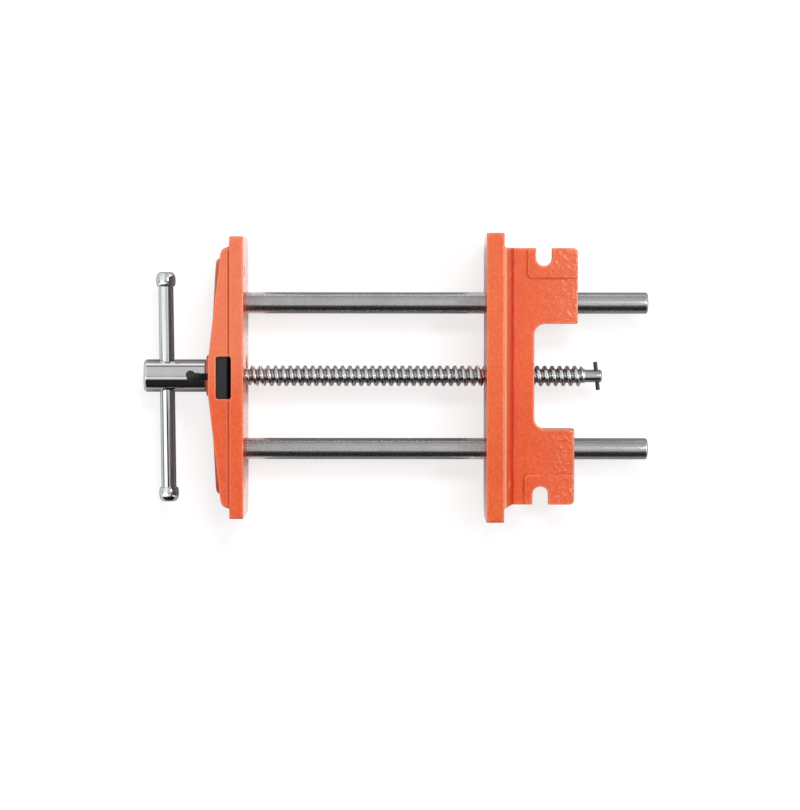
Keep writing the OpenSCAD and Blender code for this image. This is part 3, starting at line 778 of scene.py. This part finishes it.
for side, word in ((1, "left"), (-1, "right")):
    r, crown_from = rod_d / 2, rod_l - rod_chamfer
    outline = rounded([(0, 0), (0, r - rod_break), (rod_break, r)], rod_break / 2, steps=2)
    outline += [Vector((rod_l * i / rod_runs, r)) for i in range(1, rod_runs)]
    for i in range(crown_steps + 1):
        angle = math.radians(90 / crown_steps * i)
        drop = rod_chamfer * (1 - math.cos(angle))
        outline.append(Vector((crown_from + crown_l * math.sin(angle), r - drop)))
    outline += [Vector((rod_l - back, r - down)) for back, down in rod_end_face]
    outline.append(Vector((rod_l, 0)))
    rod_start = (-opening - rod_seat, side * rod_y, 0)
    rod = turned("guide_rod_ground_" + word, rod_steel, rod_start, X, outline)
    hand_over(rod, "sliding_half", "ground_rod", "guide_rod_" + word)
    pin_x = -opening - rod_seat / 2
    pin_middle = (pin_x, side * rod_y, rod_d / 2 + rod_pin_above - rod_pin_l / 2)
    pin = plain_pin("rod_pin_turned_" + word, turned_steel, pin_middle, Z, rod_pin_d, rod_pin_l)
    hole = [(0, 0), (0, pin_hole_r), (pin_hole_l, pin_hole_r), (pin_hole_l, 0)]
    hole = turned_mesh("pin_hole", (pin_x, side * rod_y, pin_hole_from), Z, hole, sides=32)
    cut_away(pin, turned_steel, hole)
    hand_over(pin, "sliding_half", "plain_steel", "rod_pin_" + word)

hub_break = 0.5
socket_fit = 0.05
journal_end = -journal_short - hub_front - opening
socket_end = -opening - socket_depth - hub_front
groove_near, groove_far = ring_x - hub_front - ring_gap, ring_x - hub_front + ring_t + ring_gap
hub_outline = rounded([
    (0, 0), (0, hub_d / 2 - hub_chamfer), (hub_chamfer, hub_d / 2), (hub_l - hub_break, hub_d / 2),
    (hub_l, hub_d / 2 - hub_break), (hub_l, journal_r), (groove_near, journal_r),
    (groove_near, journal_r - ring_bite), (groove_far, journal_r - ring_bite),
    (groove_far, journal_r), (journal_end, journal_r), (journal_end, root_r + socket_fit),
    (socket_end, root_r + socket_fit), (socket_end, 0)], softer, steps=3)


def fine_outline(outline, step):
    """The same outline with long straight runs divided."""
    out = [outline[0]]
    for p in outline[1:]:
        parts = max(1, int((p - out[-1]).length / step))
        last = out[-1].copy()
        out += [last.lerp(p, i / parts) for i in range(1, parts + 1)]
    return out


hub_outline = fine_outline(hub_outline, step=0.7)
hub = turned("handle_hub_turned", chrome, (hub_front, 0, 0), X, hub_outline, sides=128)
hole = [(-overrun, 0), (-overrun, bar_hole_r), (hub_d + overrun, bar_hole_r), (hub_d + overrun, 0)]
cut_away(hub, chrome, turned_mesh("bar_hole", (bar_x, -hub_d / 2, 0), Y, hole))
hand_over(hub, "screw", "chrome", "handle_hub")

hub_pin_middle = (hub_front + hub_l - hub_pin_inset, 0, 0)
hub_pin = plain_pin("hub_pin_turned", turned_steel, hub_pin_middle, Y, hub_pin_d, hub_pin_l, edge=0.4)
hand_over(hub_pin, "screw", "plain_steel", "hub_pin")

bar_axis = Matrix.Rotation(bar_lean, 3, "Z") @ Y
bar_middle = Vector((bar_x, 0, 0)) + bar_axis * bar_offset
grip = bar_l / 2 - cap_l
spigot_r, spigot_end = bar_d / 3, grip + 5
bar_runs = 30
spigot = [(grip, bar_d / 2), (grip, spigot_r), (spigot_end, spigot_r), (spigot_end, 0)]
bar_outline = rounded([(-x, r) for x, r in spigot[::-1]], soft, steps=3)
bar_outline += [Vector((-grip + 2 * grip * i / bar_runs, bar_d / 2)) for i in range(1, bar_runs)]
bar_outline += rounded(spigot, soft, steps=3)
bar = turned("handle_bar_polished", chrome, bar_middle, bar_axis, bar_outline)
hand_over(bar, "bar", "chrome", "handle_bar")

cap_share = ((0, 0.40), (0, 0.83), (0.05, 0.92), (0.2, 0.985), (0.4, 1.0), (0.62, 0.985), (0.8, 0.90),
             (0.93, 0.77), (0.985, 0.62), (1.0, 0.45), (1.0, 0))
for side, word in ((1, "left"), (-1, "right")):
    outline = rounded([(s * cap_l, r * cap_d / 2) for s, r in cap_share], radius=0.9)
    outline[0] = Vector((0, 0))
    cap = turned("handle_cap_polished_" + word, cap_chrome, bar_middle + bar_axis * side * grip,
                 bar_axis * side, outline, sides=80)
    hand_over(cap, "bar", "chrome", "handle_cap_" + word, sharp=math.radians(50))

stop_axis = Matrix.Rotation(stop_pin_lean, 3, "Z") @ Y
stop_middle = Vector((thread_front + thread_l + tail_l - stop_pin_inset, 0, 0))
stop_pin = plain_pin("stop_pin_black", screw_black, stop_middle, stop_axis, stop_pin_d, stop_pin_l,
                     edge=0.3, sides=40)
hand_over(stop_pin, "screw", "black_steel", "stop_pin")


# Threads, made by geometry nodes

def make_thread_tree():
    """A right-hand thread on the X axis: a skewed sheet wrapped round so that its rows follow the helix."""
    tree, given, out = new_group("wound_thread", "GeometryNodeTree", {
        "Start": 0.0, "End": 0.1, "Pitch": 0.00475, "Root Radius": 0.0044, "Depth": 0.0021,
        "Crest Share": 0.37, "Flank": 0.0005, "Soft": 0.0003, "Run Out": 0.002, "Sides": 48,
        "Rows Per Turn": 20, "Finish": None}, ["Thread"], "NodeSocketGeometry")
    sheet = add(tree, "GeometryNodeMeshGrid", sockets={"Size X": 1.0, "Size Y": 1.0})
    feed(tree, sheet.inputs["Vertices X"], maths(tree, "ADD", given["Sides"], 1.0))
    reach = maths(tree, "ADD", maths(tree, "SUBTRACT", given["End"], given["Start"]), given["Pitch"])
    step = maths(tree, "DIVIDE", given["Pitch"], given["Rows Per Turn"])
    gaps = maths(tree, "CEIL", maths(tree, "DIVIDE", reach, step))
    feed(tree, sheet.inputs["Vertices Y"], maths(tree, "ADD", gaps, 1.0))
    at = xyz(tree, add(tree, "GeometryNodeInputPosition").outputs[0])
    turn, share = maths(tree, "ADD", at["X"], 0.5), maths(tree, "ADD", at["Y"], 0.5)
    count = maths(tree, "ROUND", product(tree, share, gaps))
    row = maths(tree, "MULTIPLY_ADD", count, step, maths(tree, "SUBTRACT", given["Start"], given["Pitch"]))
    along = maths(tree, "MULTIPLY_ADD", turn, given["Pitch"], row)
    cycle = maths(tree, "DIVIDE", row, given["Pitch"])
    off = maths(tree, "SUBTRACT", maths(tree, "FRACT", maths(tree, "ADD", cycle, 0.5)), 0.5)
    off = product(tree, maths(tree, "ABSOLUTE", off), given["Pitch"])
    half = product(tree, given["Crest Share"], 0.5, given["Pitch"])
    foot = maths(tree, "ADD", maths(tree, "ADD", half, given["Flank"]), given["Soft"])
    high = ramp(tree, off, foot, maths(tree, "SUBTRACT", half, given["Soft"]))
    rise = ramp(tree, maths(tree, "SUBTRACT", along, given["Start"]), 0.0, given["Run Out"])
    fall = ramp(tree, maths(tree, "SUBTRACT", given["End"], along), 0.0, given["Run Out"])
    high = product(tree, high, rise, fall)
    radius = maths(tree, "MULTIPLY_ADD", high, given["Depth"], given["Root Radius"])
    angle = product(tree, turn, 2 * math.pi)
    past_start = maths(tree, "MAXIMUM", along, given["Start"])
    spot = add(tree, "ShaderNodeCombineXYZ")
    feed(tree, spot.inputs["X"], maths(tree, "MINIMUM", past_start, given["End"]))
    feed(tree, spot.inputs["Y"], product(tree, radius, maths(tree, "COSINE", angle)))
    feed(tree, spot.inputs["Z"], product(tree, radius, maths(tree, "SINE", angle)))
    wrapped = add(tree, "GeometryNodeSetPosition")
    feed(tree, wrapped.inputs["Position"], spot.outputs[0])
    closed = add(tree, "GeometryNodeMergeByDistance", sockets={"Distance": 2e-6})
    real = add(tree, "GeometryNodeRealizeInstances")
    painted = add(tree, "GeometryNodeSetMaterial")
    feed(tree, painted.inputs["Material"], given["Finish"])
    shape = sheet.outputs["Mesh"]
    for node in (wrapped, closed, real, painted):
        feed(tree, node.inputs["Geometry"], shape)
        shape = node.outputs["Geometry"]
    feed(tree, out["Thread"], shape)
    return tree


thread_tree = make_thread_tree()


def wound_thread(name, finish, values, place=None):
    """A plain closed mesh from the thread tree, with flat ends."""
    piece = object_from(name, bpy.data.meshes.new(name))
    winding = piece.modifiers.new("winding", "NODES")
    winding.node_group = thread_tree
    sockets = {s.name: s.identifier for s in thread_tree.interface.items_tree if s.in_out == "INPUT"}
    for label, value in {**values, "Finish": finish}.items():
        winding[sockets[label]] = value
    apply_modifiers(piece)
    made = bmesh.new()
    made.from_mesh(piece.data)
    bmesh.ops.dissolve_degenerate(made, edges=made.edges, dist=1e-7)
    bmesh.ops.holes_fill(made, edges=[e for e in made.edges if e.is_boundary], sides=0)
    bmesh.ops.recalc_face_normals(made, faces=made.faces)
    if place is not None:
        bmesh.ops.transform(made, matrix=place, verts=made.verts)
    made.to_mesh(piece.data)
    made.free()
    return piece


flank = thread_depth * math.tan(flank_angle)
thread_end = thread_front + thread_l
crest_swell = 0.03
shank_break = 0.5
tail_seat = 1
tail_break = 0.9
centre_r, centre_depth = 1.3, 1
winding = wound_thread("lead_screw_thread", thread_steel, {
    "Start": thread_front * MM, "End": thread_end * MM, "Pitch": thread_pitch * MM,
    "Root Radius": root_r * MM, "Depth": thread_depth * MM, "Crest Share": crest_share + crest_swell,
    "Flank": flank * MM, "Soft": 0.34 * MM, "Run Out": 3.2 * MM, "Sides": 56, "Rows Per Turn": 22})
shank_end = socket_depth - journal_short
shank_outline = rounded([(0, 0), (0, root_r - shank_break), (shank_break, root_r), (shank_end, root_r),
                         (shank_end, 0)], radius=0.1, steps=2)
shank = turned("shank", thread_steel, (-opening - socket_depth, 0, 0), X, shank_outline, sides=56)
tail_r, tail_run = tail_d / 2, tail_l + tail_seat
tail_outline = rounded([
    (0, 0), (0, tail_r), (tail_run - tail_break, tail_r), (tail_run, tail_r - tail_break),
    (tail_run, centre_r), (tail_run - centre_depth, 0)], radius=0.25, steps=3)
tail = turned("tail", thread_steel, (thread_end - tail_seat, 0, 0), X, tail_outline, sides=64)
lead_screw = joined("lead_screw_rolled", thread_steel, winding, shank, tail)
hand_over(lead_screw, "screw", "bright_thread", "lead_screw", sharp=math.radians(50))


# The bench dog and its clamping screw

def softened_copy(name, node, finish, width, segments=3):
    """A CAD form with its sharp edges broken."""
    piece = merged_copy(name, node)
    made = bmesh.new()
    made.from_mesh(piece.data)
    bmesh.ops.dissolve_limit(made, angle_limit=math.radians(1), verts=made.verts, edges=made.edges)
    made.to_mesh(piece.data)
    made.free()
    edge = piece.modifiers.new("edge", "BEVEL")
    edge.width, edge.segments, edge.limit_method = width * MM, segments, "ANGLE"
    edge.angle_limit = math.radians(30)
    apply_modifiers(piece)
    piece.data.materials.clear()
    piece.data.materials.append(finish)
    return piece


dog = softened_copy("bench_dog_cast", "bench_dog", dog_black, width=0.45)
hand_over(dog, "dog", "black_steel", "bench_dog")

tip_gap = 0.05
clamp_front_break = 0.5
clamp_break = 0.6
clamp_plain_l = 7.6
clamp_root_r = 2.1
dog_tip = pocket_front + dog_fit - tip_gap
dog_screw_front = cross_bar_x - dog_screw_nose
dog_screw_r, dog_screw_l = dog_screw_d / 2, dog_tip - dog_screw_front
clamp_outline = rounded([
    (0, 0), (0, dog_screw_r - clamp_front_break), (clamp_break, dog_screw_r), (clamp_plain_l, dog_screw_r),
    (clamp_plain_l + clamp_break, clamp_root_r), (dog_screw_l, clamp_root_r), (dog_screw_l, 0)],
    soft, steps=3)
shank = turned("clamp_shank", screw_black, (dog_screw_front, 0, dog_screw_z), X, clamp_outline, sides=56)
fine = wound_thread("clamp_thread", screw_black, {
    "Start": (dog_screw_front + 8.4) * MM, "End": (dog_tip - 0.4) * MM, "Pitch": 0.8 * MM,
    "Root Radius": 2.08 * MM, "Depth": 0.4 * MM, "Crest Share": 0.16, "Flank": 0.22 * MM, "Soft": 0.05 * MM,
    "Run Out": 0.6 * MM, "Sides": 40, "Rows Per Turn": 12}, Matrix.Translation(Z * dog_screw_z * MM))
clamp = joined("dog_screw_black", screw_black, shank, fine)
hand_over(clamp, "dog_clamp", "black_steel", "dog_screw")

cross_axis = Matrix.Rotation(cross_bar_lean, 3, "X") @ Z
half, thick, knob = cross_bar_l / 2, cross_bar_d / 2, cross_bar_end_d / 2
neck = half - cross_bar_end_l
knob_break = 0.5
knob_drop = ((1.0, 0), (0.35, 0.7), (0.3, 1.1), (0.05, 1.4))
end_shape = [(neck, thick), (neck, knob - knob_break), (neck + knob_break, knob)]
end_shape += [(half - back, knob - down) for back, down in knob_drop] + [(half, 0)]
cross_outline = rounded([(-x, r) for x, r in end_shape[::-1]] + end_shape, softer, steps=3)
cross_bar = turned("dog_screw_bar_black", screw_black, (cross_bar_x, 0, dog_screw_z), cross_axis,
                   cross_outline, sides=56)
hand_over(cross_bar, "dog_clamp", "black_steel", "dog_screw_bar")


# Small parts inside

for node, body, slot, finish, width in (
        ("thrust_washer", "sliding_half", "plain_steel", turned_steel, 0.18),
        ("retaining_ring", "screw", "black_steel", screw_black, 0.12),
        ("nut_set_screw", "bench_half", "black_steel", screw_black, 0.2)):
    hand_over(softened_copy(node + "_edged", node, finish, width, segments=2), body, slot, node)

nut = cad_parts["screw_nut"]
nut.data.materials.clear()
nut.data.materials.append(turned_steel)


# Studio

# The paper as metals mirror it and as the camera sees it. A range runs along X or Y in metres, and has its
# start, its end and how bright it is at both.
paper_white, paper_dimmed, near_jaw_gain = 0.8, 0.40, 0.75
jaw_inset, jaw_reach = 0.004, 0.006
behind_y = (0.16, 0.50, 0.35, 0.95)
past_handle_x = (-0.205, -0.27, 0.0, 0.38)
in_front_y = (-0.50, -0.26, 0.12, 1.0)
glow_x = (-0.165, -0.185, 0.69, 0.76)

floor_size = 9.0
corners = ((-1, -1), (1, -1), (1, 1), (-1, 1))
floor_mesh = mesh_from("studio_floor", [(x * floor_size, y * floor_size, foot_z * MM) for x, y in corners],
                       [(0, 1, 2, 3)])
floor = object_from("studio_floor", floor_mesh)
paper = bpy.data.materials.new("white_paper")
tree = new_tree(paper)
seen = add(tree, "ShaderNodeLightPath").outputs
at = xyz(tree, coordinates(tree))

# What metals mirror of the paper: bright near the jaws and past the handle, dim in front.
half_open = opening * MM / 2
from_middle = maths(tree, "ABSOLUTE", maths(tree, "ADD", at["X"], half_open))
by_jaw = maths(tree, "COMPARE", from_middle, half_open - jaw_inset, jaw_reach)
near = maths(tree, "MULTIPLY_ADD", by_jaw, near_jaw_gain, ramp(tree, at["Y"], *behind_y))
near = maths(tree, "ADD", near, ramp(tree, at["X"], *past_handle_x))
mirrored = product(tree, near, ramp(tree, at["Y"], *in_front_y))

# What the camera sees: part reflected light, part an even glow, a little stronger on the handle side.
reflected = maths(tree, "SUBTRACT", paper_white, product(tree, seen["Is Camera Ray"], paper_dimmed))
lit_paper = ramp(tree, at["X"], *glow_x)
matt = add(tree, "ShaderNodeBsdfDiffuse")
feed(tree, matt.inputs["Color"], blend(tree, seen["Is Glossy Ray"], reflected, mirrored, "FLOAT"))
glow = add(tree, "ShaderNodeEmission", sockets={"Color": (1, 1, 1, 1)})
feed(tree, glow.inputs["Strength"], product(tree, seen["Is Camera Ray"], lit_paper))
both = add(tree, "ShaderNodeAddShader")
tree.links.new(matt.outputs[0], both.inputs[0])
tree.links.new(glow.outputs[0], both.inputs[1])
tree.links.new(both.outputs[0], add(tree, "ShaderNodeOutputMaterial").inputs["Surface"])
floor.data.materials.append(paper)


# The room as metals mirror it. A range is one of directions, from -1 to 1: X along the vise, Y across it
# and Z up. It has its start, its end and mostly how bright it is at both.
left_y = (-0.022, -0.040)
handle_x, middle_x, bench_x = (-0.26, -0.12, 1.0, 0.66), (0.10, 0.18, 1.0, 0.8), (0.28, 0.36)
bench_levels = (0.77, 0.15)
blot_y, blot_from_x, blot_to_x = (-0.090, -0.075), (-0.33, -0.27), (0.13, 0.08, 0.0, 0.98)
rim_x, glare_x = (-0.88, -0.96, 0.0, 0.8), (-0.27, -0.34, 0.0, 0.3)
front_y, lift_y, low_z = (-0.52, -0.30, 0.02, 1.0), (-0.42, 0.10, 1.45, 1.0), (0.08, 0.5, 0.55, 1.0)
back_y, gap_from_z, gap_to_z = (0.86, 0.93), (0.18, 0.23), (0.40, 0.34, 0.0, 0.8)
sill_z, beyond_x = (0.22, 0.17, 0.0, 0.7), (0.62, 0.78, 0.0, 1.5)


def mirrored_room(tree, toward):
    """How bright mirrors see the room: bright by the handle, dim past the bench side, dark in front."""
    x, y, z = toward["X"], toward["Y"], toward["Z"]
    left_half = ramp(tree, y, *left_y)
    across = product(tree, ramp(tree, x, *handle_x), ramp(tree, x, *middle_x))
    past = maths(tree, "SUBTRACT", ramp(tree, left_half, 0.0, 1.0, *bench_levels), across)
    across = maths(tree, "MULTIPLY_ADD", ramp(tree, x, *bench_x), past, across)

    # Two dark places just left of the middle, which the handle bar mirrors, and a glare beyond them.
    by_bar = product(tree, left_half, ramp(tree, y, *blot_y))
    blot = product(tree, ramp(tree, x, *blot_from_x), ramp(tree, x, *blot_to_x))
    dark = product(tree, maths(tree, "ADD", blot, ramp(tree, x, *rim_x)), by_bar)
    glare = product(tree, left_half, ramp(tree, x, *glare_x))
    across = product(tree, across, maths(tree, "SUBTRACT", 1.0, dark), maths(tree, "ADD", 1.0, glare))

    # Fading to the front and towards the ground.
    front = ramp(tree, y, *front_y)
    bright = product(tree, across, front, product(tree, ramp(tree, y, *lift_y), ramp(tree, z, *low_z)))

    # A dark gap and a bright sill at the back, and a bright wall beyond the bench side.
    back = ramp(tree, y, *back_y)
    gap = product(tree, ramp(tree, z, *gap_from_z), ramp(tree, z, *gap_to_z), back)
    sill = product(tree, ramp(tree, z, *sill_z), back)
    beyond = product(tree, ramp(tree, x, *beyond_x), front)
    bright = product(tree, bright, maths(tree, "SUBTRACT", 1.0, gap))
    return maths(tree, "ADD", bright, maths(tree, "ADD", beyond, sill))


room = bpy.data.worlds.new("studio_room")
bpy.context.scene.world = room
tree = new_tree(room)
path = add(tree, "ShaderNodeLightPath").outputs
room_light = 0.55
mirrored = mirrored_room(tree, xyz(tree, coordinates(tree, "Generated")))
level = blend(tree, path["Is Glossy Ray"], room_light, mirrored, "FLOAT")
sky = add(tree, "ShaderNodeBackground", sockets={"Color": (1, 1, 1, 1)})
feed(tree, sky.inputs["Strength"], blend(tree, path["Is Camera Ray"], level, 1.0, "FLOAT"))
tree.links.new(sky.outputs[0], add(tree, "ShaderNodeOutputWorld").inputs["Surface"])


def soft_light(name, place, size, power, mirrored=True, target=(-0.05, 0.0, 0.0)):
    """A soft light that looks at a target. Places and sizes are in metres, power in watts."""
    data = bpy.data.lights.new(name, "AREA")
    data.shape, data.size, data.size_y, data.energy = "RECTANGLE", size[0], size[1], power
    lamp = bpy.data.objects.new(name, data)
    bpy.context.scene.collection.objects.link(lamp)
    lamp.location = place
    lamp.rotation_mode = "QUATERNION"
    lamp.rotation_quaternion = (Vector(target) - Vector(place)).to_track_quat("-Z", "Y")
    lamp.visible_glossy = mirrored
    return lamp


soft_light("key_softbox", (0.2, 0.8, 1.6), size=(0.6, 0.35), power=13.0, mirrored=False)
soft_light("edge_strip", (1.45, 0.15, 0.85), size=(0.3, 0.9), power=3.2)
soft_light("sparkle_panel", (0.70, 0.31, 1.70), size=(0.3, 0.3), power=6.5)

camera_data = bpy.data.cameras.new("camera")
camera = bpy.data.objects.new("camera", camera_data)
bpy.context.scene.collection.objects.link(camera)
bpy.context.scene.camera = camera
camera_data.lens, camera_data.sensor_width = 149.98, 36.0
camera_data.clip_start, camera_data.clip_end = 0.1, 50.0
camera.location = (-0.0546, 0.0587, 2.142)
camera.rotation_euler = (math.radians(-2.066), math.radians(-0.021), math.radians(0.052))

bpy.context.scene.view_settings.view_transform = "Standard"
